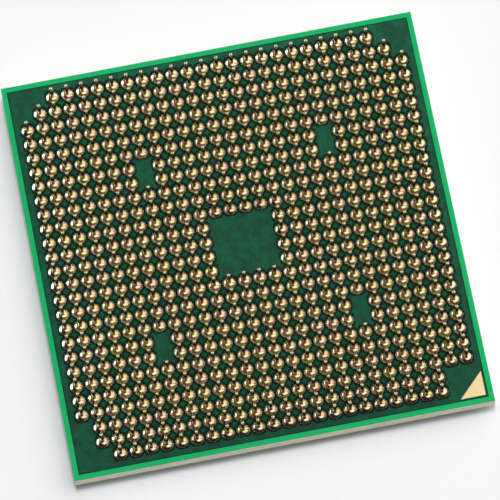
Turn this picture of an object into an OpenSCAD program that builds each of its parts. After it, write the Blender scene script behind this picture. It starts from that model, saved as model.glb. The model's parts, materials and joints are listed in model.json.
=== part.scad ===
// Lidless pin-grid processor package, pins up.
// Millimetres. The origin is the centre of the chip's bare back, which the package rests on.
// +X runs along the pin rows, +Y from the marked corner's edge to the far edge, +Z towards the pin tips.

/* [Substrate] */
// Side of the square laminate
substrate_w = 34.9; // [33.6:0.1:40]
// Thickness of the laminate
laminate_t = 1.15; // [0.6:0.05:2]
// Thickness of the solder mask on each face
mask_t = 0.05; // [0.03:0.01:0.1]
// Thickness of the copper pads and corner triangles
copper_t = 0.03; // [0.02:0.005:0.06]
// Gap between a pad and the edge of its mask opening
mask_clearance = 0.02; // [0.01:0.005:0.04]

/* [Corner markers] */
// Leg of the bare corner triangle
marker_leg = 2.05; // [1:0.05:2.2]
// Distance from the triangle's legs to the edges of the laminate
marker_inset = 0.65; // [0.4:0.05:0.8]

/* [Pins] */
// Distance between neighbouring pins
pin_pitch = 1.27; // [1.15:0.01:1.3]
// Diameter of a pin's shaft
pin_d = 0.305; // [0.22:0.005:0.4]
// Height of the pin tips above the mask
pin_h = 2.03; // [1.4:0.01:3.2]
// Diameter of the flat at a pin's rounded tip
pin_flat_d = 0.065; // [0.02:0.005:0.2]
// Diameter of the flat head at a pin's foot
head_d = 0.7; // [0.62:0.02:0.78]
// Thickness of the head
head_t = 0.08; // [0.06:0.01:0.14]

/* [Pin joints] */
// Diameter of the pad under a pin
pad_d = 1.06; // [0.98:0.02:1.1]
// Solder between the pad and the pin's head
solder_film = 0.05; // [0.03:0.005:0.06]
// Solder around the upper edge of the head
solder_cover = 0.05; // [0.03:0.01:0.1]
// Radius of the neck where the solder climbs the shaft
neck_r = 0.02; // [0.01:0.01:0.1]

/* [Chip] */
// Width of the chip, along X
die_w = 11; // [8:0.5:14]
// Length of the chip, along Y
die_l = 16.6; // [10:0.2:18]
// Thickness of the chip
die_t = 0.78; // [0.5:0.02:1]
// Gap between the chip and the mask
die_gap = 0.06; // [0.04:0.01:0.1]
// Distance between neighbouring bumps
bump_pitch = 0.9; // [0.7:0.1:1.5]
// Diameter of a bump
bump_d = 0.3; // [0.15:0.05:0.4]
// Distance from the outer bumps to the chip's edge
bump_margin = 0.7; // [0.5:0.1:1.2]
// Radius of the underfill's concave fillet round the chip
underfill_r = 0.5; // [0.2:0.05:0.5]

/* [Capacitors] */
// Length of a capacitor
cap_l = 1.6; // [1:0.1:2]
// Width of a capacitor
cap_w = 0.8; // [0.5:0.1:1.2]
// Height of a capacitor
cap_h = 0.5; // [0.3:0.05:0.6]
// Length of the metal at each end of a capacitor
cap_end = 0.35; // [0.2:0.05:0.4]
// Thickness of that metal
cap_metal = 0.03; // [0.02:0.005:0.05]
// Solder between a capacitor and its pads
cap_film = 0.02; // [0.01:0.005:0.04]
// Reach of the solder fillet beyond each end
cap_fillet = 0.25; // [0.1:0.05:0.35]
// Distance between neighbouring capacitors
cap_pitch = 2.6; // [2.2:0.1:3]
// Distance from the chip's edge to the middle of the capacitors
cap_offset = 3.2; // [2.4:0.1:4]
// Capacitors along each long side of the chip
caps_long = 6; // [2:1:7]
// Capacitors along each short side of the chip
caps_short = 4; // [2:1:5]

/* [Hidden] */
$fn = 40;
// An overshoot that lets a cut pass clear of a face.
cut = 0.2;

// Row letters, from the far edge to the marked corner's edge, without the letters that look like digits.
ROW_LETTERS = [
    "a", "b", "c", "d", "e", "f", "g", "h", "j", "k", "l", "m", "n",
    "p", "r", "t", "u", "v", "w", "y", "aa", "ab", "ac", "ad", "ae", "af"
];
grid_n = len(ROW_LETTERS);
PIN_NODES = [for (letter = ROW_LETTERS) str("pins_row_", letter)];

// Groups of rows that share a node of solder joints, each as [first row, last row].
SOLDER_GROUPS = [[1, 6], [7, 13], [14, 20], [21, 26]];
SOLDER_NODES = [
    for (group = SOLDER_GROUPS)
        str("solder_rows_", ROW_LETTERS[group[0] - 1], "_", ROW_LETTERS[group[1] - 1])
];

// Bare blocks of the grid, each as [first row, last row, first column, last column], counted from one.
BARE_BLOCKS = [
    [1, 1, 1, 2], [2, 2, 1, 1],
    [1, 1, 25, 26], [2, 2, 26, 26],
    [24, 26, 1, 1], [26, 26, 2, 2],
    [25, 26, 25, 26],
    [12, 15, 12, 15],
    [7, 8, 8, 8], [7, 8, 20, 20],
    [19, 20, 7, 7], [19, 20, 20, 20]
];

// Levels from the chip's back upwards.
die_mask_z = die_t + die_gap;
laminate_z = die_mask_z + mask_t;
laminate_top = laminate_z + laminate_t;
mask_top = laminate_top + mask_t;
joint_z = laminate_top + copper_t;
pin_tip_z = mask_top + pin_h;

// Heights within one pin joint, from the top of its pad.
shaft_r = pin_d / 2;
tip_r = shaft_r - pin_flat_d / 2;
head_top = solder_film + head_t;
pin_end = pin_tip_z - joint_z;

// The solder dome is a ball centred on the pin's axis. Its outline runs from the pad's edge
// past the head's upper edge at the distance solder_cover.
cover_r = head_d / 2 + solder_cover;
dome_z = (pow(cover_r, 2) + pow(head_top, 2) - pow(pad_d / 2, 2)) / (2 * head_top);
dome_r = norm([pad_d / 2, dome_z]);
// The neck is a round of radius neck_r that touches both the ball and the shaft.
neck_x = shaft_r + neck_r;
neck_z = dome_z + sqrt(pow(dome_r + neck_r, 2) - pow(neck_x, 2));
neck_share = dome_r / (dome_r + neck_r);
neck_foot_x = neck_x * neck_share;
neck_foot_z = dome_z + (neck_z - dome_z) * neck_share;

// The bumps fill a centred grid on the chip's face, and the mask is open around them.
bumps_x = floor((die_w - 2 * bump_margin) / bump_pitch) + 1;
bumps_y = floor((die_l - 2 * bump_margin) / bump_pitch) + 1;
window_w = (bumps_x - 1) * bump_pitch + 2 * bump_d;
window_l = (bumps_y - 1) * bump_pitch + 2 * bump_d;

// Capacitor levels, from the laminate downwards.
cap_top_z = laminate_z - copper_t - cap_film;
cap_z = cap_top_z - cap_h;
cap_pad_l = cap_end + cap_fillet;

// True where a block of bare positions holds this row and column.
function in_block(block, row, column) =
    row >= block[0] && row <= block[1] && column >= block[2] && column <= block[3];

// True where the grid has a pin.
function has_pin(row, column) =
    len([for (block = BARE_BLOCKS) if (in_block(block, row, column)) 1]) == 0;

// Place of a grid position, with row one at the far edge and column one at the left.
function grid_place(row, column) = [
    (column - (grid_n + 1) / 2) * pin_pitch,
    ((grid_n + 1) / 2 - row) * pin_pitch
];

// Places of the pins in a run of rows.
function pin_places(first_row, last_row) = [
    for (row = [first_row:last_row])
        for (column = [1:grid_n])
            if (has_pin(row, column)) grid_place(row, column)
];

// Puts its children at every pin of a run of rows, at a height.
module at_pins(z, first_row = 1, last_row = grid_n) {
    for (place = pin_places(first_row, last_row)) {
        translate([place[0], place[1], z]) children();
    }
}

// A centred plate of a given size, standing on a height.
module plate(size_x, size_y, thickness, z) {
    translate([-size_x / 2, -size_y / 2, z]) cube([size_x, size_y, thickness]);
}

// The right triangle in the marked corner, grown by a margin on its legs.
module marker_outline(margin) {
    corner = substrate_w / 2 - marker_inset + margin;
    // The slanted side moves out by the same margin, which lengthens each leg.
    leg = marker_leg + (2 + sqrt(2)) * margin;
    polygon([[corner, -corner], [corner, leg - corner], [corner - leg, -corner]]);
}

// Half section of a nail-headed pin, from the top of its pad.
module pin_section() {
    translate([0, solder_film]) square([head_d / 2, head_t]);
    translate([0, solder_film]) square([shaft_r, pin_end - tip_r - solder_film]);
    translate([0, solder_film]) square([shaft_r - tip_r, pin_end - solder_film]);
    intersection() {
        translate([shaft_r - tip_r, pin_end - tip_r]) circle(tip_r);
        translate([0, solder_film]) square([shaft_r, pin_end - solder_film]);
    }
}

// Half section of the solder round a pin's head, before the pin's own room is taken out.
module joint_section() {
    intersection() {
        translate([0, dome_z]) circle(dome_r);
        square([dome_r, neck_z]);
    }
    difference() {
        translate([0, neck_foot_z]) square([neck_foot_x, neck_z - neck_foot_z]);
        translate([neck_x, neck_z]) circle(neck_r);
    }
}

module pin() {
    rotate_extrude() pin_section();
}

module solder_joint() {
    rotate_extrude() difference() {
        joint_section();
        pin_section();
    }
}

// Puts its children at every capacitor, lengthwise along X.
module at_capacitors() {
    for (side = [-1, 1]) {
        for (i = [0:caps_long - 1]) {
            place = (i - (caps_long - 1) / 2) * cap_pitch;
            translate([side * (die_w / 2 + cap_offset), place, 0]) children();
        }
        for (i = [0:caps_short - 1]) {
            place = (i - (caps_short - 1) / 2) * cap_pitch;
            translate([place, side * (die_l / 2 + cap_offset), 0]) rotate(90) children();
        }
    }
}

// Puts its children at both ends of a capacitor, with +X outwards.
module at_ends() {
    for (turn = [0, 180]) {
        rotate(turn) translate([cap_l / 2, 0, 0]) children();
    }
}

// The ceramic of a capacitor, which its end caps wrap.
module capacitor_core() {
    plate(cap_l - 2 * cap_metal, cap_w - 2 * cap_metal, cap_h - 2 * cap_metal, cap_z + cap_metal);
}

// A pad under one end of a capacitor, grown by a margin all round.
module end_pad(thickness, z, margin) {
    translate([-cap_end - margin, -cap_w / 2 - margin, z])
        cube([cap_pad_l + 2 * margin, cap_w + 2 * margin, thickness]);
}

// Solder at one end of a capacitor: a film over the pad and a concave fillet on the end face.
module end_solder() {
    fillet_z = cap_top_z - cap_fillet;
    translate([0, cap_w / 2, 0]) rotate([90, 0, 0]) linear_extrude(cap_w) {
        translate([-cap_end, cap_top_z]) square([cap_pad_l, cap_film]);
        difference() {
            translate([0, fillet_z]) square([cap_fillet, cap_fillet]);
            translate([cap_fillet, fillet_z]) circle(cap_fillet);
        }
    }
}

// Section of the underfill across the chip, from the tip of its fillets to the mask.
module underfill_section(chip_size) {
    foot = chip_size / 2 + underfill_r;
    difference() {
        translate([-foot, die_mask_z - underfill_r]) square([2 * foot, underfill_r]);
        for (side = [-1, 1]) {
            translate([side * foot, die_mask_z - underfill_r]) circle(underfill_r);
        }
    }
}

// A section drawn in X and Z, run along Y over a length.
module run_along_y(length) {
    translate([0, length / 2, 0]) rotate([90, 0, 0]) linear_extrude(length) children();
}

// A squashed solder ball between the chip and the laminate.
module bump() {
    height = laminate_z - die_t;
    rotate_extrude() intersection() {
        translate([0, height / 2]) circle(bump_d / 2);
        square([bump_d, height]);
    }
}

// Puts its children at every bump, on the chip's face.
module at_bumps() {
    for (i = [0:bumps_x - 1]) {
        for (j = [0:bumps_y - 1]) {
            x = (i - (bumps_x - 1) / 2) * bump_pitch;
            y = (j - (bumps_y - 1) / 2) * bump_pitch;
            translate([x, y, die_t]) children();
        }
    }
}

module laminate() {
    color("burlywood") plate(substrate_w, substrate_w, laminate_t, laminate_z);
}

module pin_side_mask() {
    color("seagreen") difference() {
        plate(substrate_w, substrate_w, mask_t, laminate_top);
        at_pins(laminate_top - cut) cylinder(d = pad_d + 2 * mask_clearance, h = mask_t + 2 * cut);
        translate([0, 0, laminate_top - cut]) linear_extrude(mask_t + 2 * cut)
            marker_outline(mask_clearance);
    }
}

module die_side_mask() {
    color("seagreen") difference() {
        plate(substrate_w, substrate_w, mask_t, die_mask_z);
        plate(window_w, window_l, mask_t + 2 * cut, die_mask_z - cut);
        at_capacitors() at_ends() end_pad(mask_t + 2 * cut, die_mask_z - cut, mask_clearance);
        translate([0, 0, die_mask_z - cut]) linear_extrude(mask_t + 2 * cut)
            marker_outline(mask_clearance);
    }
}

module pin_1_marker() {
    color("gold") translate([0, 0, laminate_top]) linear_extrude(copper_t) marker_outline(0);
}

module die_side_marker() {
    color("gold") translate([0, 0, laminate_z - copper_t]) linear_extrude(copper_t) marker_outline(0);
}

module pin_pads() {
    color("goldenrod") at_pins(laminate_top) cylinder(d = pad_d, h = copper_t);
}

// The solder joints of one group of rows.
module solder_rows(group) {
    color("darkgoldenrod") at_pins(joint_z, group[0], group[1]) solder_joint();
}

module die() {
    color("dimgray") plate(die_w, die_l, die_t, 0);
}

module die_bumps() {
    color("silver") at_bumps() bump();
}

module underfill() {
    color("darkslategray") difference() {
        union() {
            intersection() {
                run_along_y(die_l + 2 * underfill_r) underfill_section(die_w);
                rotate(90) run_along_y(die_w + 2 * underfill_r) underfill_section(die_l);
            }
            plate(window_w, window_l, mask_t, die_mask_z);
        }
        plate(die_w, die_l, die_t + cut, -cut);
        at_bumps() bump();
    }
}

module capacitor_bodies() {
    color("tan") at_capacitors() capacitor_core();
}

module capacitor_terminals() {
    color("lightgray") at_capacitors() difference() {
        at_ends() translate([-cap_end, -cap_w / 2, cap_z]) cube([cap_end, cap_w, cap_h]);
        capacitor_core();
    }
}

module capacitor_pads() {
    color("goldenrod") at_capacitors() at_ends() end_pad(copper_t, laminate_z - copper_t, 0);
}

module capacitor_solder() {
    color("silver") at_capacitors() at_ends() end_solder();
}

// The pins of one row, counted from the far edge.
module pins_row(row) {
    color("gold") at_pins(joint_z, row, row) pin();
}

laminate();
pin_side_mask();
die_side_mask();
pin_1_marker();
die_side_marker();
pin_pads();
die();
die_bumps();
underfill();
capacitor_bodies();
capacitor_terminals();
capacitor_pads();
capacitor_solder();
for (i = [0:len(SOLDER_NODES) - 1]) {
    solder_rows(SOLDER_GROUPS[i]);
}
for (row = [1:grid_n]) {
    pins_row(row);
}
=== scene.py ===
"""Finish and studio for a lidless pin-grid processor package that lies with its pins up."""

import json
import math

import bpy
from bpy.props import FloatProperty, FloatVectorProperty, IntProperty, PointerProperty
from mathutils import Matrix, Vector


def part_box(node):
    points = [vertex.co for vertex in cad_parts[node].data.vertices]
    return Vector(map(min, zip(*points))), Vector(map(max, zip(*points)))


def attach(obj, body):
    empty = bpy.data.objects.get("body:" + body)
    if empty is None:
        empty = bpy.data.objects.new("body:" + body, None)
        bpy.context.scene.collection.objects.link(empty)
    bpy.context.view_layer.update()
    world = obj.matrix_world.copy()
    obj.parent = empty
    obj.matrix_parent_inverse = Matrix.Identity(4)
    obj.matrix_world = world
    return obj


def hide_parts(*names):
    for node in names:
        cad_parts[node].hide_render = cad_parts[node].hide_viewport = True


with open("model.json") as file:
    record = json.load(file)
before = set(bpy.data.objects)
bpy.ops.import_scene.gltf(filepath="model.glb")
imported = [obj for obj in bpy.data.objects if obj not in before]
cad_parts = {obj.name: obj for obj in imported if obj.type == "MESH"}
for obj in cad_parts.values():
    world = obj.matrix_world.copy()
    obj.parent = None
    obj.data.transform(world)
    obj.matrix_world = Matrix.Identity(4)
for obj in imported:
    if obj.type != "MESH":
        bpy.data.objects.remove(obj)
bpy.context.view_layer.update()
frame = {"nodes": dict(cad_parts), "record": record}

bl_info = {
    "name": "Pin Grid Processor",
    "version": (1, 0, 0),
    "blender": (4, 5, 0),
    "location": "3D View > Sidebar > Processor",
    "description": "Finishes a pin-grid processor package and sets it on a pale studio floor",
    "category": "Object",
}

MM = 0.001
BODY = "root"

# The pin grid: row letters from the far edge to the marked corner's edge, and its bare blocks, each as
# first row, last row, first column and last column, counted from one.
ROW_LETTERS = "a b c d e f g h j k l m n p r t u v w y aa ab ac ad ae af".split()
PIN_NODES = [f"pins_row_{letter}" for letter in ROW_LETTERS]
SOLDER_NODES = ["solder_rows_a_f", "solder_rows_g_n", "solder_rows_p_y", "solder_rows_aa_af"]
FULL_ROW = "pins_row_c"
BARE_BLOCKS = [
    (1, 1, 1, 2), (2, 2, 1, 1),
    (1, 1, 25, 26), (2, 2, 26, 26),
    (24, 26, 1, 1), (26, 26, 2, 2),
    (25, 26, 25, 26),
    (12, 15, 12, 15),
    (7, 8, 8, 8), (7, 8, 20, 20),
    (19, 20, 7, 7), (19, 20, 20, 20),
]


def middle(node, axis):
    """Middle of a CAD node's box along one axis."""
    low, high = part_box(node)
    return (low[axis] + high[axis]) / 2


# Sizes that the frame gives.
GRID_COUNT = len(PIN_NODES)
PIN_PITCH = (middle(PIN_NODES[0], 1) - middle(PIN_NODES[-1], 1)) / (GRID_COUNT - 1)
GRID_REACH = PIN_PITCH * (GRID_COUNT - 1) / 2
PAD_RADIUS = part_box("pin_pads")[1].x - GRID_REACH
HEAD_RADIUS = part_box(FULL_ROW)[1].x - GRID_REACH
SHAFT_RADIUS = next(m for m in frame["record"]["mounts"] if m["kind"] == "pin")["dims"]["r_mm"] * MM
JOINT_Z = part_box(SOLDER_NODES[0])[0].z
SOLDER_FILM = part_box(FULL_ROW)[0].z - JOINT_Z
PIN_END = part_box(FULL_ROW)[1].z - JOINT_Z
HALF_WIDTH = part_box("laminate")[1].x
LAMINATE_LOW, LAMINATE_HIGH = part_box("laminate")[0].z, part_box("laminate")[1].z
MASK_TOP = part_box("pin_side_mask")[1].z


def length(name, description, default, low, high):
    """A length property in metres."""
    return FloatProperty(name=name, description=description, default=default, min=low, max=high,
                         subtype="DISTANCE", unit="LENGTH", precision=5)


def colour(name, description, default):
    """A linear colour property."""
    return FloatVectorProperty(name=name, description=description, default=default, size=3,
                               min=0.0, max=1.0, subtype="COLOR")


def angle(name, description, degrees):
    """An angle property, given in degrees and kept in radians."""
    return FloatProperty(name=name, description=description, default=math.radians(degrees),
                         subtype="ANGLE", unit="ROTATION")


def brightness(name, description, default):
    """A brightness property: what a mirror would show of a lamp."""
    return FloatProperty(name=name, description=description, default=default, min=0.0)


def count(name, description, default, low, high):
    """A property that holds a whole number."""
    return IntProperty(name=name, description=description, default=default, min=low, max=high)


class PinSettings(bpy.types.PropertyGroup):
    """Sizes of the pins and of the solder joints round their feet."""

    pitch: length("Pitch", "Distance between neighbouring pins", PIN_PITCH, 0.5 * MM, 3 * MM)
    shaft_radius: length("Shaft radius", "Radius of a pin's shaft", SHAFT_RADIUS, 0.05 * MM, 0.4 * MM)
    tip_rounding: length("Tip rounding", "Rounding at a pin's tip", 0.12 * MM, 0.01 * MM, 0.2 * MM)
    head_radius: length("Head radius", "Radius of a pin's flat head", HEAD_RADIUS, 0.1 * MM, 0.5 * MM)
    head_thickness: length("Head thickness", "Thickness of the head", 0.08 * MM, 0.05 * MM, 0.4 * MM)
    solder_film: length("Solder film", "Solder between the pad and the head", SOLDER_FILM, 0.0, 0.1 * MM)
    solder_cover: length("Solder cover", "Solder round the head's edge", 0.05 * MM, 0.01 * MM, 0.3 * MM)
    pad_radius: length("Pad radius", "Radius of the pad under a joint", PAD_RADIUS, 0.3 * MM, 0.6 * MM)
    neck_radius: length("Neck radius", "Round of the solder on the shaft", 0.02 * MM, 0.01 * MM, 0.3 * MM)
    joint_sides: count("Joint sides", "Sides of a solder joint", 12, 6, 64)
    shaft_sides: count("Shaft sides", "Sides of a pin", 10, 6, 64)
    seed: count("Seed", "Seed of the pins' tones and turns", 4, 0, 9999)


class FinishSettings(bpy.types.PropertyGroup):
    """Colours and zones of the finishes."""

    border_width: length("Border width", "Border of the mask with no copper under it", 0.42 * MM, 0.0, 2 * MM)
    # Reaches of the painted shade round each pad and up the foot of each joint.
    pad_shade_width: length("Flux width", "Dark flux round a pad, on the mask", 0.30 * MM, 0.0, 0.6 * MM)
    foot_shade_height: length("Flux height", "Dark flux at the foot of a joint", 0.07 * MM, 0.0, 0.3 * MM)
    mask_border: colour("Mask border", "Mask over bare laminate", (0.006, 0.38, 0.115))
    mask_dark: colour("Mask over copper", "Mask over the copper planes", (0.005, 0.072, 0.037))
    mask_teal: colour("Mask, teal patches", "Cooler patches of the mask", (0.005, 0.116, 0.060))
    mask_brown: colour("Mask, brown patches", "Brown patches of the mask", (0.043, 0.065, 0.034))
    # The mask's dark threads; the same colour is also the painted shade towards the front edge.
    mask_threads_and_shade: colour("Mask, fine mottle", "Dark threads of the cloth under the mask", (0.002, 0.030, 0.016))
    # Painted shade on the mask, round the pads and along the border's step.
    mask_painted_shade: colour("Mask, flux", "Mask under flux and along the border's step", (0.002, 0.006, 0.004))
    resin_tan: colour("Laminate", "Sawn edge of the laminate", (0.86, 0.80, 0.66))
    resin_dark: colour("Laminate fibres", "Darker fibres and layers in the sawn edge", (0.64, 0.56, 0.42))
    joint_gold: colour("Joint gold", "Gilded solder of the joints", (0.76, 0.615, 0.36))
    joint_rose: colour("Joint rose", "Redder tone of some joints", (0.75, 0.565, 0.365))
    # Painted shade at the foot of each joint.
    painted_shade: colour("Flux", "Burnt flux at the foot of a joint", (0.05, 0.035, 0.02))
    pin_gold: colour("Pin gold", "Gold plating of the pins", (0.60, 0.49, 0.31))
    flat_gold: colour("Flat gold", "Gold of the corner triangles and pads", (0.65, 0.525, 0.30))
    silicon: colour("Silicon", "Polished back of the chip", (0.30, 0.31, 0.34))
    underfill: colour("Underfill", "Resin round the chip", (0.045, 0.040, 0.036))
    ceramic: colour("Ceramic", "Body of a capacitor", (0.40, 0.28, 0.18))
    tin: colour("Tin", "Solder and capacitor ends", (0.74, 0.73, 0.71))


class StageSettings(bpy.types.PropertyGroup):
    """Camera, lamps and floor."""

    azimuth: angle("Azimuth", "Turn of the camera from the front towards the right", -6.14)
    elevation: angle("Elevation", "Height of the camera above the horizon", 70.38)
    roll: angle("Roll", "Turn of the camera about its view", -5.0)
    distance: length("Distance", "Distance from the camera to its target", 441.6 * MM, 0.1, 5.0)
    target_x: length("Target X", "Aim across the package", 0.29 * MM, -HALF_WIDTH, HALF_WIDTH)
    target_y: length("Target Y", "Aim along the package", -0.69 * MM, -HALF_WIDTH, HALF_WIDTH)
    lens: FloatProperty(name="Lens", description="Focal length in millimetres", default=385.4, min=1.0,
                        subtype="DISTANCE_CAMERA")
    key_light: brightness("Key light", "Brightness of the wide softbox above the right side", 1.65)
    side_light: brightness("Side light", "Brightness of the low strip on the left, in the gloss", 7.0)
    top_light: brightness("Top light", "Brightness of the small panel above, on matt surfaces", 52.0)
    room_light: brightness("Room light", "Brightness of the room", 0.02)
    floor: colour("Floor", "Colour of the floor and backdrop", (0.815, 0.83, 0.84))


# Node trees.

class Field:
    """A value in a node tree. Arithmetic on it adds the nodes that work it out."""

    def __init__(self, tree, socket):
        self.tree = tree
        self.socket = socket

    def math(self, operation, *others):
        return calculate(self.tree, operation, self, *others)

    def __add__(self, other):
        return self.math("ADD", other)

    def __sub__(self, other):
        return self.math("SUBTRACT", other)

    def __mul__(self, other):
        return self.math("MULTIPLY", other)

    def __truediv__(self, other):
        return self.math("DIVIDE", other)

    def __rsub__(self, other):
        return calculate(self.tree, "SUBTRACT", other, self)

    def __rtruediv__(self, other):
        return calculate(self.tree, "DIVIDE", other, self)


def calculate(tree, operation, *values):
    """The result of a math node, whose values are fields or numbers."""
    node = add_node(tree, "ShaderNodeMath", operation=operation)
    for socket, value in zip(node.inputs, values):
        plug(value, socket)
    return Field(tree, node.outputs["Value"])


def plug(value, socket):
    """Links a field to a socket, or sets a constant on it."""
    if isinstance(value, Field):
        value.tree.links.new(value.socket, socket)
    else:
        socket.default_value = value


def live(sockets, name):
    """The socket of this name that the node's settings leave in use."""
    return next(s for s in sockets if s.name == name and s.enabled)


def add_node(tree, kind, plugs=None, **settings):
    """A new node with its settings, and its inputs plugged by name."""
    node = tree.nodes.new(kind)
    for name, value in settings.items():
        setattr(node, name, value)
    for name, value in (plugs or {}).items():
        plug(value, live(node.inputs, name))
    return node


def result(tree, kind, output, plugs=None, **settings):
    """A new node's output as a field."""
    return Field(tree, live(add_node(tree, kind, plugs, **settings).outputs, output))


def split(tree, vector):
    """The three parts of a vector."""
    return [Field(tree, s) for s in add_node(tree, "ShaderNodeSeparateXYZ", {"Vector": vector}).outputs]


def join(tree, x, y, z):
    """A vector from its three parts."""
    return result(tree, "ShaderNodeCombineXYZ", "Vector", {"X": x, "Y": y, "Z": z})


def new_tree(name, kind, inputs, outputs):
    """A node group with named sockets, its input fields by name, and its output node."""
    tree = bpy.data.node_groups.new(name, kind)
    for direction, sockets in (("INPUT", inputs), ("OUTPUT", outputs)):
        for socket_name, socket_type in sockets:
            tree.interface.new_socket(name=socket_name, in_out=direction, socket_type=socket_type)
    source = tree.nodes.new("NodeGroupInput")
    sink = tree.nodes.new("NodeGroupOutput")
    return tree, {s.name: Field(tree, s) for s in source.outputs if s.name}, sink


def link(thing):
    """Puts an object in the scene."""
    bpy.context.scene.collection.objects.link(thing)
    return thing


# Pins and joints: a solid of revolution at every place of the grid.

# The rise of a normal above which a face counts as a flat end.
FLAT_END = 0.99


def has_pin(row, column):
    """True where the grid has a pin, with rows and columns counted from one."""
    return not any(r0 <= row <= r1 and c0 <= column <= c1 for r0, r1, c0, c1 in BARE_BLOCKS)


def pin_places(pitch):
    """Points on the pad tops where the pins stand."""
    centre = (GRID_COUNT + 1) / 2
    return [
        ((column - centre) * pitch, (centre - row) * pitch, JOINT_Z)
        for row in range(1, GRID_COUNT + 1)
        for column in range(1, GRID_COUNT + 1)
        if has_pin(row, column)
    ]


def turned_solid(tree, sides, reach, rings):
    """A closed solid of revolution through rings, each a radius, a height and the rise of its normal.

    Its corners lie further out than the round form by the factor reach. It has the round form's normals,
    and its flat faces stay flat.
    """
    last = len(rings) - 1
    tube = result(tree, "GeometryNodeMeshCylinder", "Mesh",
                  {"Vertices": sides, "Side Segments": last, "Radius": 1.0, "Depth": 1.0}, fill_type="NGON")
    x, y, z = split(tree, result(tree, "GeometryNodeInputPosition", "Position"))
    ring = ((z + 0.5) * last).math("ROUND")

    def by_ring(values):
        switch = add_node(tree, "GeometryNodeIndexSwitch", data_type="FLOAT")
        for _ in range(len(values) - len(switch.index_switch_items)):
            switch.index_switch_items.new()
        for socket, value in zip(switch.inputs, (ring, *values)):
            plug(value, socket)
        return Field(tree, switch.outputs["Output"])

    radius, height, rise = (by_ring(values) for values in zip(*rings))
    radius, flat = radius * reach, rise.math("COSINE")
    capture = add_node(tree, "GeometryNodeCaptureAttribute", {"Geometry": tube})
    capture.capture_items.new("VECTOR", "Round Normal")
    plug(join(tree, x * flat, y * flat, rise.math("SINE")), capture.inputs["Round Normal"])
    shaped = result(tree, "GeometryNodeSetPosition", "Geometry", {
        "Geometry": Field(tree, capture.outputs["Geometry"]),
        "Position": join(tree, x * radius, y * radius, height)})
    face_normal = result(tree, "GeometryNodeFieldOnDomain", "Value",
                         {"Value": result(tree, "GeometryNodeInputNormal", "Normal")},
                         data_type="FLOAT_VECTOR", domain="FACE")
    is_flank = split(tree, face_normal)[2].math("ABSOLUTE").math("LESS_THAN", FLAT_END)
    normal = result(tree, "GeometryNodeSwitch", "Output", {
        "Switch": is_flank, "False": face_normal, "True": Field(tree, capture.outputs["Round Normal"])},
        input_type="VECTOR")
    return result(tree, "GeometryNodeSetMeshNormal", "Mesh", {"Mesh": shaped, "Custom Normal": normal},
                  mode="TANGENT_SPACE", domain="CORNER")


def copy_to_places(tree, solid, size, sink):
    """Stands the solid on every place, with a random turn and tone, and gives it its material."""
    turn = result(tree, "FunctionNodeRandomValue", "Value",
                  {"Min": 0.0, "Max": math.tau, "Seed": size["Seed"]}, data_type="FLOAT")
    tone = result(tree, "FunctionNodeRandomValue", "Value",
                  {"Min": 0.0, "Max": 1.0, "Seed": size["Seed"] + 1}, data_type="FLOAT")
    rotation = result(tree, "FunctionNodeEulerToRotation", "Rotation", {"Euler": join(tree, 0.0, 0.0, turn)})
    copies = result(tree, "GeometryNodeInstanceOnPoints", "Instances",
                    {"Points": size["Geometry"], "Instance": solid, "Rotation": rotation})
    toned = result(tree, "GeometryNodeStoreNamedAttribute", "Geometry",
                   {"Geometry": copies, "Name": "tone", "Value": tone}, data_type="FLOAT", domain="INSTANCE")
    mesh = result(tree, "GeometryNodeRealizeInstances", "Geometry", {"Geometry": toned})
    dressed = result(tree, "GeometryNodeSetMaterial", "Geometry",
                     {"Geometry": mesh, "Material": size["Material"]})
    plug(dressed, sink.inputs["Geometry"])


def tree_for_places(name, lengths):
    """A geometry tree that takes places, lengths, a count of sides, a seed and a material."""
    inputs = [("Geometry", "NodeSocketGeometry"), *((n, "NodeSocketFloat") for n in lengths),
              ("Sides", "NodeSocketInt"), ("Seed", "NodeSocketInt"), ("Material", "NodeSocketMaterial")]
    return new_tree(name, "GeometryNodeTree", inputs, [("Geometry", "NodeSocketGeometry")])


def pin_tree(tip_steps=3):
    """Nail-headed pins with rounded tips, standing on solder films."""
    tree, size, sink = tree_for_places(
        "Pins", ["Shaft Radius", "Tip Rounding", "Head Radius", "Head Thickness", "Solder Film", "Pin End"])
    shaft, rounding, end = size["Shaft Radius"], size["Tip Rounding"], size["Pin End"]
    head_top = size["Solder Film"] + size["Head Thickness"]
    rings = [(size["Head Radius"], size["Solder Film"], 0.0), (size["Head Radius"], head_top, 0.0),
             (shaft, head_top, 0.0)]
    for step in range(tip_steps + 1):
        turn = math.pi / 2 * step / tip_steps
        rings.append((shaft - rounding * (1 - math.cos(turn)), end - rounding * (1 - math.sin(turn)), turn))
    # A polygon whose corners lie this much further out has the area of the circle.
    turn = math.tau / size["Sides"]
    reach = (turn / turn.math("SINE")).math("SQRT")
    copy_to_places(tree, turned_solid(tree, size["Sides"], reach, rings), size, sink)
    return tree


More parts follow.
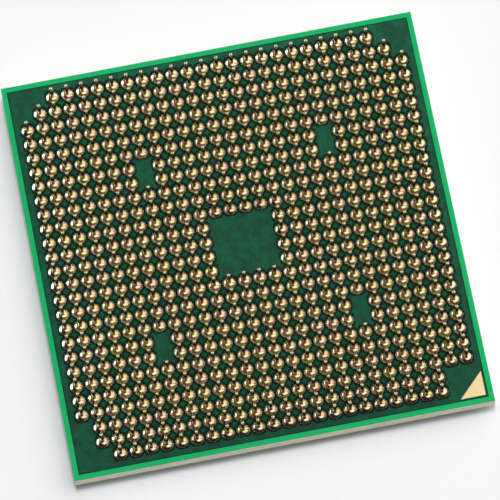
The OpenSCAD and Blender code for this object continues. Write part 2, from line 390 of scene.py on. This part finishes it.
def joint_tree(dome_steps=4, neck_steps=1):
    """Solder domes on round pads, each with a neck that climbs its pin's shaft."""
    tree, size, sink = tree_for_places(
        "Solder joints", ["Dome Radius", "Dome Drop", "Neck Radius", "Shaft Radius"])
    dome, drop, neck = size["Dome Radius"], size["Dome Drop"], size["Neck Radius"]
    neck_x = size["Shaft Radius"] + neck
    neck_reach = dome + neck
    neck_rise = (neck_reach * neck_reach - neck_x * neck_x).math("SQRT")
    base_angle = (drop / dome).math("ARCSINE")
    foot_angle = neck_rise.math("ARCTAN2", neck_x)
    rings = []
    for step in range(dome_steps + 1):
        turn = base_angle + (foot_angle - base_angle) * (step / dome_steps)
        rings.append((dome * turn.math("COSINE"), dome * turn.math("SINE") - drop, turn))
    for step in range(1, neck_steps + 1):
        turn = foot_angle * (1 - step / neck_steps)
        rings.append((neck_x - neck * turn.math("COSINE"), neck_rise - neck * turn.math("SINE") - drop, turn))
    # A polygon whose corners lie this much further out has the circle inside it, so no pad shows.
    reach = 1 / (math.pi / size["Sides"]).math("COSINE")
    copy_to_places(tree, turned_solid(tree, size["Sides"], reach, rings), size, sink)
    return tree


def grow(name, tree, places, values):
    """Runs a geometry tree on places and keeps the result as a plain mesh object at the origin."""
    points = bpy.data.meshes.new(f"{name}_places")
    points.from_pydata(places, [], [])
    piece = link(bpy.data.objects.new(name, points))
    modifier = piece.modifiers.new(tree.name, "NODES")
    modifier.node_group = tree
    for item in tree.interface.items_tree:
        if item.in_out == "INPUT" and item.name in values:
            modifier[item.identifier] = values[item.name]
    depsgraph = bpy.context.evaluated_depsgraph_get()
    mesh = bpy.data.meshes.new_from_object(piece.evaluated_get(depsgraph), preserve_all_data_layers=True,
                                           depsgraph=depsgraph)
    piece.modifiers.remove(modifier)
    piece.data = mesh
    mesh.name = name
    bpy.data.meshes.remove(points)
    if not mesh.polygons:
        raise RuntimeError(f"{name} came out empty")
    return piece


# Shared effects.

def ramp(tree, value, start, end, first=0.0, last=1.0, kind="LINEAR"):
    """A value that goes from first to last while another goes from start to end."""
    return result(tree, "ShaderNodeMapRange", "Result", {
        "Value": value, "From Min": start, "From Max": end, "To Min": first, "To Max": last},
        interpolation_type=kind)


def speckle_group():
    """Soft patches of a given size: a mask from a low to a high level of noise."""
    tree, size, sink = new_tree(
        "Speckle", "ShaderNodeTree",
        [("Vector", "NodeSocketVector"), ("Size", "NodeSocketFloat"),
         ("Low", "NodeSocketFloat"), ("High", "NodeSocketFloat")],
        [("Mask", "NodeSocketFloat")])
    noise = result(tree, "ShaderNodeTexNoise", "Fac",
                   {"Vector": size["Vector"], "Scale": 1.0 / size["Size"], "Detail": 2.0})
    plug(ramp(tree, noise, size["Low"], size["High"], kind="SMOOTHSTEP"), sink.inputs["Mask"])
    return tree


def grain_group():
    """The grain of a metal skin: a roughness that varies, and a height for its bump."""
    tree, size, sink = new_tree(
        "Metal grain", "ShaderNodeTree",
        [("Vector", "NodeSocketVector"), ("Size", "NodeSocketFloat"),
         ("Smoothest", "NodeSocketFloat"), ("Roughest", "NodeSocketFloat")],
        [("Roughness", "NodeSocketFloat"), ("Height", "NodeSocketFloat")])
    broad = add_speckle(tree, size["Vector"], size=size["Size"], low=0.35, high=0.65)
    fine = add_speckle(tree, size["Vector"], size=size["Size"] * 0.3, low=0.3, high=0.7)
    worn = broad * 0.6 + fine * 0.4
    plug(size["Smoothest"] + (size["Roughest"] - size["Smoothest"]) * worn, sink.inputs["Roughness"])
    plug(broad + fine * 0.25, sink.inputs["Height"])
    return tree


def add_group(tree, name, build, values):
    """Places a shared effect, which is built once, with its own values."""
    node = tree.nodes.new("ShaderNodeGroup")
    node.node_tree = bpy.data.node_groups.get(name) or build()
    for socket_name, value in values.items():
        plug(value, node.inputs[socket_name])
    return [Field(tree, socket) for socket in node.outputs]


def add_speckle(tree, vector, size, low, high):
    """Places the speckle effect and returns its mask."""
    values = {"Vector": vector, "Size": size, "Low": low, "High": high}
    return add_group(tree, "Speckle", speckle_group, values)[0]


def add_grain(tree, vector, size, smoothest, roughest):
    """Places the metal grain effect and returns its roughness and height."""
    values = {"Vector": vector, "Size": size, "Smoothest": smoothest, "Roughest": roughest}
    return add_group(tree, "Metal grain", grain_group, values)


# Finishes.

# A painted shade line inside the border, where the mask steps up onto the copper: its place, reach and
# darkness.
STEP_INSET, STEP_REACH, STEP_SHADE_COVER = 0.06 * MM, 0.09 * MM, 0.55
# How far the border's inner edge blurs outwards and inwards.
BLUR_OUT, BLUR_IN = 0.02 * MM, 0.03 * MM
# How much painted shade, in the colour of the mask's dark threads, the mask has at the front edge, where less
# light falls. It has none at the far edge.
FRONT_SHADE = 0.38
# How dark the painted shade round the pads and at the joints' feet is at its darkest.
PAINTED_SHADE_COVER = 0.95
# The tone, out of one, from which a joint turns rosy.
ROSY_TONE = 0.55
# Layers of the laminate's sawn edge, the level of a wave that marks a dark one, and how much shorter the
# streaks are upwards than along.
LAYER_COUNT, LAYER_LEVEL, STREAK_SHAPE = 4, 0.93, 9.0


def start_finish(name, **constants):
    """A material with one Principled shader, and its object coordinates."""
    material = bpy.data.materials.new(name)
    material.use_nodes = True
    tree = material.node_tree
    tree.nodes.clear()
    shader = add_node(tree, "ShaderNodeBsdfPrincipled")
    for socket_name, value in constants.items():
        plug(value, shader.inputs[socket_name.replace("_", " ")])
    add_node(tree, "ShaderNodeOutputMaterial", {"Surface": Field(tree, shader.outputs["BSDF"])})
    vector = result(tree, "ShaderNodeTexCoord", "Object")
    return material, tree, shader, vector


def paint(rgb, factor=1.0):
    """A colour property, made lighter or darker by a factor, as the four numbers of a colour socket."""
    return (*(factor * channel for channel in rgb), 1.0)


def mix(tree, factor, first, second):
    """A colour between two others."""
    plugs = {"Factor": factor, "A": first, "B": second}
    return result(tree, "ShaderNodeMix", "Result", plugs, data_type="RGBA")


def bump(tree, height, depth):
    """A normal from a height field, whose full range is a depth in metres."""
    plugs = {"Strength": 1.0, "Distance": depth, "Height": height}
    return result(tree, "ShaderNodeBump", "Normal", plugs)


def painted_pad_shade(tree, u, v, width):
    """A mask of painted shade round each pad, in the gaps between the joints, from places counted in pitches
    from the package's centre.
    """
    def within(low, high, place):
        return place.math("COMPARE", (low + high) / 2, (high - low) / 2)

    half = GRID_COUNT / 2
    shown = within(-half, half, u) * within(-half, half, v)
    for row_0, row_1, column_0, column_1 in BARE_BLOCKS:
        bare = within(column_0 - 1 - half, column_1 - half, u) * within(half - row_1, half - row_0 + 1, v)
        shown = shown * (1 - bare)
    across, along = (place.math("FRACT") - 0.5 for place in (u, v))
    distance = (across * across + along * along).math("SQRT") * PIN_PITCH
    # The first quarter of the ring is at its darkest.
    ring = ramp(tree, distance, PAD_RADIUS + width / 4, PAD_RADIUS + width, PAINTED_SHADE_COVER, 0.0, "SMOOTHSTEP")
    return ring * shown


def mask_border(tree, x, y, width):
    """Masks of the bare border and of the painted shade line along its inner edge."""
    from_edge = HALF_WIDTH - x.math("ABSOLUTE").math("MAXIMUM", y.math("ABSOLUTE"))
    border = ramp(tree, from_edge, width - BLUR_OUT, width + BLUR_IN, 1.0, 0.0)
    from_line = (from_edge - (width + STEP_INSET)).math("ABSOLUTE")
    return border, ramp(tree, from_line, 0.0, STEP_REACH, STEP_SHADE_COVER, 0.0)


def solder_mask_finish(look):
    """Green lacquer: bright over the bare border, dark and mottled over the copper planes, with painted shade
    towards the front edge, round the pads and along the border's step.
    """
    material, tree, shader, vector = start_finish("solder_mask", Metallic=0.0, Specular_IOR_Level=0.1)
    x, y, z = split(tree, vector)
    border, step = mask_border(tree, x, y, look.border_width)
    patches = add_speckle(tree, vector, size=0.9 * MM, low=0.35, high=0.65)
    fibres = add_speckle(tree, vector, size=0.30 * MM, low=0.45, high=0.75)
    weave = add_speckle(tree, vector, size=0.10 * MM, low=0.35, high=0.65)
    # Painted shade: the mask darkens towards its front edge.
    painted_front_shade = ramp(tree, y, -HALF_WIDTH, HALF_WIDTH, FRONT_SHADE, 0.0)
    on_pin_side = z.math("GREATER_THAN", LAMINATE_HIGH)
    # Painted shade round each pad on the pin side, in the gaps between the joints.
    rings = painted_pad_shade(tree, x / PIN_PITCH, y / PIN_PITCH, look.pad_shade_width) * on_pin_side
    inner = mix(tree, patches, paint(look.mask_dark), paint(look.mask_teal))
    # The threads are the cloth's own; the front, step and pad darkening is painted shade.
    for amount, tint in ((fibres * 0.7, look.mask_brown), (weave * 0.35, look.mask_threads_and_shade),
                         (painted_front_shade, look.mask_threads_and_shade), (step, look.mask_painted_shade), (rings, look.mask_painted_shade)):
        inner = mix(tree, amount, inner, paint(tint))
    plug(mix(tree, border, inner, paint(look.mask_border)), shader.inputs["Base Color"])
    plug(fibres * 0.12 + 0.48 + rings * 0.3, shader.inputs["Roughness"])
    plug(bump(tree, patches + fibres * 0.5, 0.003 * MM), shader.inputs["Normal"])
    return material


def laminate_finish(look):
    """The sawn edge of the laminate: layers of resin and glass, with streaks along them."""
    material, tree, shader, vector = start_finish("laminate", Metallic=0.0)
    x, y, height = split(tree, vector)
    share = (height - LAMINATE_LOW) / (LAMINATE_HIGH - LAMINATE_LOW)
    layers = (share * (math.tau * LAYER_COUNT)).math("COSINE").math("GREATER_THAN", LAYER_LEVEL)
    streaks = add_speckle(tree, join(tree, x, y, height * STREAK_SHAPE), size=0.9 * MM, low=0.38, high=0.68)
    dust = add_speckle(tree, vector, size=0.12 * MM, low=0.45, high=0.7)
    body = mix(tree, streaks * 0.55 + dust * 0.2, paint(look.resin_tan), paint(look.resin_dark))
    plug(mix(tree, layers * 0.45, body, paint(look.resin_dark)), shader.inputs["Base Color"])
    plug(dust * 0.2 + 0.6, shader.inputs["Roughness"])
    plug(bump(tree, streaks + dust * 0.5, 0.02 * MM), shader.inputs["Normal"])
    return material


def start_metal(name, base, grain, smoothest, roughest, depth):
    """A metal skin with grain of a given size, still open to changes."""
    material, tree, shader, vector = start_finish(name, Metallic=1.0, Base_Color=paint(base))
    roughness, height = add_grain(tree, vector, grain, smoothest, roughest)
    plug(roughness, shader.inputs["Roughness"])
    plug(bump(tree, height, depth), shader.inputs["Normal"])
    return material, tree, shader, vector


def metal_finish(name, base, **skin):
    """A plain metal skin with grain."""
    return start_metal(name, base, **skin)[0]


def joint_finish(look):
    """Gilded solder, whose tone differs from joint to joint, with painted shade at its foot."""
    material, tree, shader, vector = start_metal(
        "joint_solder", look.joint_gold, grain=0.35 * MM, smoothest=0.16, roughest=0.24, depth=0.001 * MM)
    tone = Field(tree, add_node(tree, "ShaderNodeAttribute", attribute_name="tone").outputs["Fac"])
    gold = mix(tree, ramp(tree, tone, ROSY_TONE, 1.0), paint(look.joint_gold), paint(look.joint_rose))
    height = split(tree, vector)[2]
    # Painted shade: each joint darkens towards its foot, where it meets the mask.
    foot = ramp(tree, height, JOINT_Z, JOINT_Z + look.foot_shade_height, PAINTED_SHADE_COVER, 0.0, "SMOOTHSTEP")
    plug(mix(tree, foot, gold, paint(look.painted_shade)), shader.inputs["Base Color"])
    return material


def resin_finish(look):
    """Dark underfill with a faint filler grain."""
    material, tree, shader, vector = start_finish("underfill_resin", Metallic=0.0)
    filler = add_speckle(tree, vector, size=0.08 * MM, low=0.4, high=0.7)
    flow = add_speckle(tree, vector, size=0.8 * MM, low=0.3, high=0.7)
    resin, grains = paint(look.underfill), paint(look.underfill, factor=2.2)
    plug(mix(tree, filler * 0.5, resin, grains), shader.inputs["Base Color"])
    plug(flow * 0.15 + 0.25, shader.inputs["Roughness"])
    plug(bump(tree, flow + filler * 0.2, 0.01 * MM), shader.inputs["Normal"])
    return material


def ceramic_finish(look):
    """Fired ceramic of the capacitors, slightly mottled."""
    material, tree, shader, vector = start_finish("capacitor_ceramic", Metallic=0.0)
    mottle = add_speckle(tree, vector, size=0.25 * MM, low=0.35, high=0.7)
    grain = add_speckle(tree, vector, size=0.05 * MM, low=0.35, high=0.65)
    light, dark = paint(look.ceramic), paint(look.ceramic, factor=0.65)
    plug(mix(tree, mottle * 0.6 + grain * 0.3, light, dark), shader.inputs["Base Color"])
    plug(mottle * 0.15 + 0.45, shader.inputs["Roughness"])
    plug(bump(tree, grain, 0.004 * MM), shader.inputs["Normal"])
    return material


def dress(material, slot, *nodes):
    """Gives CAD nodes their finish."""
    for name in nodes:
        node = frame["nodes"][name]
        node.data.materials.clear()
        node.data.materials.append(material)


# Stage.

# Lamps as the package sees them: angles in degrees, from the front and above the horizon, sizes in metres.
KEY_LAMP = {"azimuth": 112, "elevation": 57, "lean": 27, "distance": 1.4, "width": 2.2, "height": 3.4,
            "shape": "ELLIPSE", "tint": (1.0, 0.96, 0.90)}
STRIP_LAMP = {"azimuth": -113, "elevation": 15, "distance": 0.6, "width": 0.56, "height": 0.31,
              "tint": (0.66, 0.81, 1.0)}
TOP_LAMP = {"azimuth": 180, "elevation": 86, "distance": 0.8, "width": 0.14, "height": 0.14,
            "tint": (0.92, 0.97, 1.0)}
ROOM_TINT = (0.92, 0.96, 1.0)
# The nearest and farthest that the camera sees.
CAMERA_NEAR, CAMERA_FAR = 0.01, 20.0


def compass(azimuth, elevation):
    """The direction towards a point at this turn from the front and this height above the horizon."""
    return Vector((math.sin(azimuth) * math.cos(elevation), -math.cos(azimuth) * math.cos(elevation),
                   math.sin(elevation)))


def backdrop(look, floor_radius=2.2, cove=0.2, cove_steps=6, wall=0.25, sides=64):
    """A round pale floor whose rim turns up into a low wall."""
    rings = [(floor_radius * share, 0.0) for share in (0.05, 0.2, 0.5, 1.0)]
    for step in range(1, cove_steps + 1):
        turn = math.pi / 2 * step / cove_steps
        rings.append((floor_radius + cove * math.sin(turn), cove * (1 - math.cos(turn))))
    rings.append((floor_radius + cove, cove + wall))
    points = [(0.0, 0.0, 0.0)]
    for radius, height in rings:
        points += [(radius * math.cos(math.tau * i / sides), radius * math.sin(math.tau * i / sides), height)
                   for i in range(sides)]
    faces = [(0, 1 + i, 1 + (i + 1) % sides) for i in range(sides)]
    for ring in range(len(rings) - 1):
        near, far = 1 + ring * sides, 1 + (ring + 1) * sides
        faces += [(near + i, far + i, far + (i + 1) % sides, near + (i + 1) % sides) for i in range(sides)]
    mesh = bpy.data.meshes.new("backdrop")
    mesh.from_pydata(points, [], faces)
    mesh.shade_smooth()
    material, *_ = start_finish("backdrop_paint", Base_Color=paint(look.floor), Roughness=0.8,
                                Specular_IOR_Level=0.2)
    mesh.materials.append(material)
    return link(bpy.data.objects.new("backdrop", mesh))


def softbox(name, level, azimuth, elevation, distance, width, height, tint, shape="RECTANGLE", lean=0):
    """A flat lamp that faces the package. Its level is what a mirror would show of it."""
    lamp = bpy.data.lights.new(name, "AREA")
    lamp.shape = shape
    lamp.size, lamp.size_y = width, height
    lamp.color = tint
    area = width * height * (math.pi / 4 if shape == "ELLIPSE" else 1)
    lamp.energy = level * math.pi * area
    towards = compass(math.radians(azimuth), math.radians(elevation))
    holder = link(bpy.data.objects.new(name, lamp))
    holder.location = towards * distance
    facing = (-towards).to_track_quat("-Z", "Y").to_matrix()
    holder.rotation_euler = (facing @ Matrix.Rotation(math.radians(lean), 3, "Z")).to_euler()
    holder.visible_camera = False
    return holder


def light_room(scene, level):
    """Fills the room with a faint even light."""
    world = bpy.data.worlds.new("room")
    world.use_nodes = True
    room = world.node_tree.nodes["Background"]
    room.inputs["Color"].default_value = paint(ROOM_TINT)
    room.inputs["Strength"].default_value = level
    scene.world = world


def aim_camera(scene, look):
    """Sets the camera at its distance from a point on the mask, turned about its view."""
    back = compass(look.azimuth, look.elevation)
    right = Vector((math.cos(look.azimuth), math.sin(look.azimuth), 0.0))
    up = back.cross(right)
    turned_right = right * math.cos(look.roll) + up * math.sin(look.roll)
    turned_up = up * math.cos(look.roll) - right * math.sin(look.roll)
    lens = bpy.data.cameras.new("camera")
    lens.lens = look.lens
    lens.clip_start, lens.clip_end = CAMERA_NEAR, CAMERA_FAR
    camera = link(bpy.data.objects.new("camera", lens))
    turn = Matrix((turned_right, turned_up, back)).transposed().to_4x4()
    target = Vector((look.target_x, look.target_y, MASK_TOP))
    camera.matrix_world = Matrix.Translation(target + back * look.distance) @ turn
    scene.camera = camera


# Operators.

class PROCESSOR_OT_substrate(bpy.types.Operator):
    """Finish the laminate, its masks, its pads and its corner triangles"""

    bl_idname = "processor.substrate"
    bl_label = "Substrate"

    def execute(self, context):
        look = context.scene.processor_finish
        dress(laminate_finish(look), "laminate", "laminate")
        dress(solder_mask_finish(look), "solder_mask", "pin_side_mask", "die_side_mask")
        gold = metal_finish("bare_gold", look.flat_gold,
                            grain=0.25 * MM, smoothest=0.28, roughest=0.42, depth=0.002 * MM)
        dress(gold, "bare_gold", "pin_1_marker", "die_side_marker")
        pad = metal_finish("pad_metal", look.flat_gold,
                           grain=0.15 * MM, smoothest=0.3, roughest=0.5, depth=0.002 * MM)
        dress(pad, "pad_metal", "pin_pads", "capacitor_pads")
        return {"FINISHED"}


class PROCESSOR_OT_joints(bpy.types.Operator):
    """Build the solder joints round the feet of the pins"""

    bl_idname = "processor.joints"
    bl_label = "Solder joints"

    def execute(self, context):
        size = context.scene.processor_pins
        head_top = size.solder_film + size.head_thickness
        cover = size.head_radius + size.solder_cover
        # The ball that passes the pad's edge, and the head's upper edge at the distance of the cover.
        drop = (size.pad_radius ** 2 - cover ** 2 - head_top ** 2) / (2 * head_top)
        joints = grow("solder_joints", joint_tree(), pin_places(size.pitch), {
            "Dome Radius": math.hypot(size.pad_radius, drop), "Dome Drop": drop,
            "Neck Radius": size.neck_radius, "Shaft Radius": size.shaft_radius,
            "Sides": size.joint_sides, "Seed": size.seed,
            "Material": joint_finish(context.scene.processor_finish)})
        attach(joints, BODY)
        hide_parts(*SOLDER_NODES)
        return {"FINISHED"}


class PROCESSOR_OT_pins(bpy.types.Operator):
    """Build the pins on their grid"""

    bl_idname = "processor.pins"
    bl_label = "Pins"

    def execute(self, context):
        size = context.scene.processor_pins
        gold = metal_finish("pin_gold", context.scene.processor_finish.pin_gold,
                            grain=0.2 * MM, smoothest=0.06, roughest=0.12, depth=0.0003 * MM)
        pins = grow("pins", pin_tree(), pin_places(size.pitch), {
            "Shaft Radius": size.shaft_radius, "Tip Rounding": size.tip_rounding,
            "Head Radius": size.head_radius, "Head Thickness": size.head_thickness,
            "Solder Film": size.solder_film, "Pin End": PIN_END,
            "Sides": size.shaft_sides, "Seed": size.seed, "Material": gold})
        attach(pins, BODY)
        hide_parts(*PIN_NODES)
        return {"FINISHED"}


class PROCESSOR_OT_chip(bpy.types.Operator):
    """Finish the chip, its bumps and its underfill"""

    bl_idname = "processor.chip"
    bl_label = "Chip"

    def execute(self, context):
        look = context.scene.processor_finish
        silicon = metal_finish("silicon", look.silicon,
                               grain=1.2 * MM, smoothest=0.06, roughest=0.12, depth=0.0005 * MM)
        dress(silicon, "silicon", "die")
        dress(resin_finish(look), "underfill_resin", "underfill")
        tin = metal_finish("tin_solder", look.tin,
                           grain=0.12 * MM, smoothest=0.2, roughest=0.35, depth=0.003 * MM)
        dress(tin, "tin_solder", "die_bumps", "capacitor_solder")
        return {"FINISHED"}


class PROCESSOR_OT_capacitors(bpy.types.Operator):
    """Finish the capacitors round the chip"""

    bl_idname = "processor.capacitors"
    bl_label = "Capacitors"

    def execute(self, context):
        look = context.scene.processor_finish
        dress(ceramic_finish(look), "capacitor_ceramic", "capacitor_bodies")
        ends = metal_finish("terminal_tin", look.tin,
                            grain=0.1 * MM, smoothest=0.3, roughest=0.5, depth=0.004 * MM)
        dress(ends, "terminal_tin", "capacitor_terminals")
        return {"FINISHED"}


class PROCESSOR_OT_stage(bpy.types.Operator):
    """Set the floor, the lamps and the camera"""

    bl_idname = "processor.stage"
    bl_label = "Stage"

    def execute(self, context):
        scene = context.scene
        look = scene.processor_stage
        scene.view_settings.view_transform = "Standard"
        backdrop(look)
        softbox("key_softbox", look.key_light, **KEY_LAMP)
        # The strip on the left is for the metal's gloss, and the panel above is for the rest.
        strip = softbox("side_strip", look.side_light, **STRIP_LAMP)
        strip.visible_diffuse = False
        panel = softbox("top_panel", look.top_light, **TOP_LAMP)
        panel.visible_glossy = False
        light_room(scene, look.room_light)
        aim_camera(scene, look)
        return {"FINISHED"}


class PROCESSOR_PT_sidebar(bpy.types.Panel):
    """Lists the pieces and the stage"""

    bl_label = "Processor"
    bl_space_type = "VIEW_3D"
    bl_region_type = "UI"
    bl_category = "Processor"

    def draw(self, context):
        for operator in OPERATORS:
            self.layout.operator(operator.bl_idname)
        for settings in SETTINGS:
            group = getattr(context.scene, settings)
            for name in group.__annotations__:
                self.layout.prop(group, name)


OPERATORS = (PROCESSOR_OT_substrate, PROCESSOR_OT_joints, PROCESSOR_OT_pins, PROCESSOR_OT_chip,
             PROCESSOR_OT_capacitors, PROCESSOR_OT_stage)
SETTINGS = {"processor_pins": PinSettings, "processor_finish": FinishSettings,
            "processor_stage": StageSettings}
CLASSES = (*SETTINGS.values(), *OPERATORS, PROCESSOR_PT_sidebar)


def register():
    """Tells Blender the classes and hangs their settings on the scene."""
    for entry in CLASSES:
        bpy.utils.register_class(entry)
    for name, group in SETTINGS.items():
        setattr(bpy.types.Scene, name, PointerProperty(type=group))


def unregister():
    """Takes the settings and the classes away again."""
    for name in SETTINGS:
        delattr(bpy.types.Scene, name)
    for entry in reversed(CLASSES):
        bpy.utils.unregister_class(entry)


def main():
    """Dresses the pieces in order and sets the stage."""
    register()
    bpy.ops.processor.substrate()
    bpy.ops.processor.joints()
    bpy.ops.processor.pins()
    bpy.ops.processor.chip()
    bpy.ops.processor.capacitors()
    bpy.ops.processor.stage()


if __name__ == "__main__":
    main()
